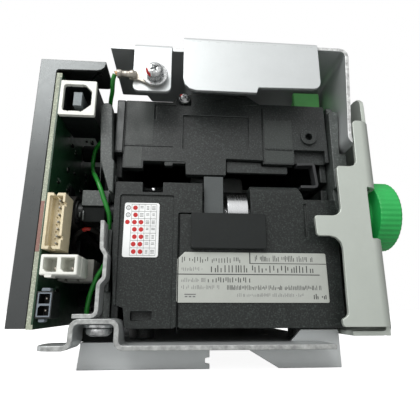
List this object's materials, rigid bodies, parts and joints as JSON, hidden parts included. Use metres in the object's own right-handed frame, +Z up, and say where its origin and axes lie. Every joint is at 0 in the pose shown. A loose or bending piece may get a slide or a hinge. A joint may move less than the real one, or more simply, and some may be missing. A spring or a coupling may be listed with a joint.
{
  "type": "motorised card reader",
  "caption": "Motorised card reader module with an upper and a lower transport unit, a control board with its cover, bent-sheet brackets, a hand knob and a front card throat.",
  "frame": {"origin": "middle of the footprint, on the surface that the base skirts stand on", "axes": "+Z up, +Y from the connector side at the rear towards the card mouth, +X to the right as seen from behind, towards the hand knob"},
  "size_m": [0.1098, 0.1968, 0.0997],
  "materials": {
    "zinc_sheet": "zinc-plated sheet, satin",
    "grey_sheet": "grey zinc-plated sheet, dull",
    "machined_steel": "turned steel, satin",
    "tinned_copper": "tinned, dull",
    "black_plastic": "glass-filled black moulding, fine sparkle",
    "satin_cover": "satin black",
    "dark_plastic": "dark grey moulding, matte",
    "grey_plastic": "grey, satin",
    "circuit_board": "green solder mask, satin",
    "white_nylon": "white connector nylon",
    "beige_nylon": "beige connector nylon",
    "green_plastic": "bright green moulding, satin",
    "green_insulation": "dark green wire insulation",
    "red_insulation": "red wire insulation",
    "silver_label": "silver film label",
    "paper_label": "white label",
    "black_rubber": "black rubber, dull"
  },
  "bodies": {
    "chassis": {"base_tray": "zinc_sheet", "cross_rail": "zinc_sheet", "hat_screw": "machined_steel", "side_link": "zinc_sheet", "right_bracket": "grey_sheet", "top_bracket": "zinc_sheet", "earth_screw": "machined_steel", "ring_terminal": "tinned_copper", "earth_wire": "green_insulation", "board_cover": "satin_cover", "control_board": "circuit_board", "usb_socket": "white_nylon", "sensor_header": "beige_nylon", "power_header": "white_nylon", "second_header": "white_nylon", "aux_header": "black_plastic", "lead_header": "black_plastic", "red_lead": "red_insulation", "controller_chip": "black_plastic", "capacitor": "grey_plastic", "left_frame": "black_plastic", "right_frame": "black_plastic", "lower_housing": "black_plastic", "lower_left_cover": "black_plastic", "lower_right_cover": "black_plastic", "serial_plate": "silver_label", "setting_label": "paper_label", "sensor_cable": "grey_plastic", "card_clip": "grey_plastic", "upper_housing": "black_plastic", "upper_rear_cover": "black_plastic", "cover_screw": "machined_steel", "front_plate": "dark_plastic", "card_throat": "green_plastic", "drive_motor": "grey_plastic", "timing_belt": "black_rubber", "shutter_solenoid": "machined_steel"},
    "knob_train": {"hand_knob": "green_plastic", "input_shaft": "machined_steel", "input_pulley": "grey_plastic"},
    "motor_rotor": {"motor_pulley": "machined_steel"},
    "shutter_plate": {"shutter": "machined_steel"},
    "chip_contact": {"contact_block": "dark_plastic"},
    "stripe_head": {"magnetic_head": "machined_steel"},
    "release_arm": {"release_lever": "green_plastic"},
    "drive_roller_rear": {"drive_shaft_rear": "machined_steel", "drive_tyre_rear": "black_rubber"},
    "pinch_rear": {"pinch_roller_rear": "grey_plastic"},
    "drive_roller_middle": {"drive_shaft_middle": "machined_steel", "drive_tyre_middle": "black_rubber"},
    "pinch_middle": {"pinch_roller_middle": "grey_plastic"},
    "drive_roller_front": {"drive_shaft_front": "machined_steel", "drive_tyre_front": "black_rubber"},
    "pinch_front": {"pinch_roller_front": "grey_plastic"}
  },
  "joints": [
    {"name": "knob_spin", "type": "hinge", "parent": "chassis", "child": "knob_train", "pos_m": [0, -0.07963, 0.0452], "axis": [1, 0, 0], "continuous": true},
    {"name": "drive_rear_spin", "type": "hinge", "parent": "chassis", "child": "drive_roller_rear", "pos_m": [0, -0.05162, 0.0452], "axis": [1, 0, 0], "continuous": true},
    {"name": "drive_middle_spin", "type": "hinge", "parent": "chassis", "child": "drive_roller_middle", "pos_m": [0, 0.00337, 0.0452], "axis": [1, 0, 0], "continuous": true},
    {"name": "drive_front_spin", "type": "hinge", "parent": "chassis", "child": "drive_roller_front", "pos_m": [0, 0.05838, 0.0452], "axis": [1, 0, 0], "continuous": true},
    {"name": "pinch_rear_spin", "type": "hinge", "parent": "chassis", "child": "pinch_rear", "pos_m": [0, -0.05162, 0.0614], "axis": [1, 0, 0], "continuous": true},
    {"name": "pinch_middle_spin", "type": "hinge", "parent": "chassis", "child": "pinch_middle", "pos_m": [0, 0.00337, 0.0614], "axis": [1, 0, 0], "continuous": true},
    {"name": "pinch_front_spin", "type": "hinge", "parent": "chassis", "child": "pinch_front", "pos_m": [0, 0.05838, 0.0614], "axis": [1, 0, 0], "continuous": true},
    {"name": "motor_spin", "type": "hinge", "parent": "chassis", "child": "motor_rotor", "pos_m": [0, -0.02413, 0.0435], "axis": [1, 0, 0], "continuous": true},
    {"name": "shutter_drop", "type": "slide", "parent": "chassis", "child": "shutter_plate", "axis": [0, 0, 1], "range_m": [-0.0065, 0], "stiffness_N_per_m": 100, "springref_m": 0.002},
    {"name": "contact_drop", "type": "slide", "parent": "chassis", "child": "chip_contact", "axis": [0, 0, 1], "range_m": [-0.0015, 0], "stiffness_N_per_m": 200, "springref_m": 0.001},
    {"name": "head_press", "type": "slide", "parent": "chassis", "child": "stripe_head", "axis": [0, 0, 1], "range_m": [-0.0008, 0], "stiffness_N_per_m": 300, "springref_m": 0.001},
    {"name": "release_tilt", "type": "hinge", "parent": "chassis", "child": "release_arm", "pos_m": [0, -0.06263, 0.088], "axis": [1, 0, 0], "range_deg": [-15, 0], "stiffness_Nm_per_rad": 0.02, "springref_deg": 5.16}
  ],
  "couplings": [
    {"joint": "drive_rear_spin", "follows": "knob_spin", "ratio": 1},
    {"joint": "drive_middle_spin", "follows": "knob_spin", "ratio": 1},
    {"joint": "drive_front_spin", "follows": "knob_spin", "ratio": 1},
    {"joint": "pinch_rear_spin", "follows": "knob_spin", "ratio": -1.5667},
    {"joint": "pinch_middle_spin", "follows": "knob_spin", "ratio": -1.5667},
    {"joint": "pinch_front_spin", "follows": "knob_spin", "ratio": -1.5667},
    {"joint": "motor_spin", "follows": "knob_spin", "ratio": 2}
  ]
}
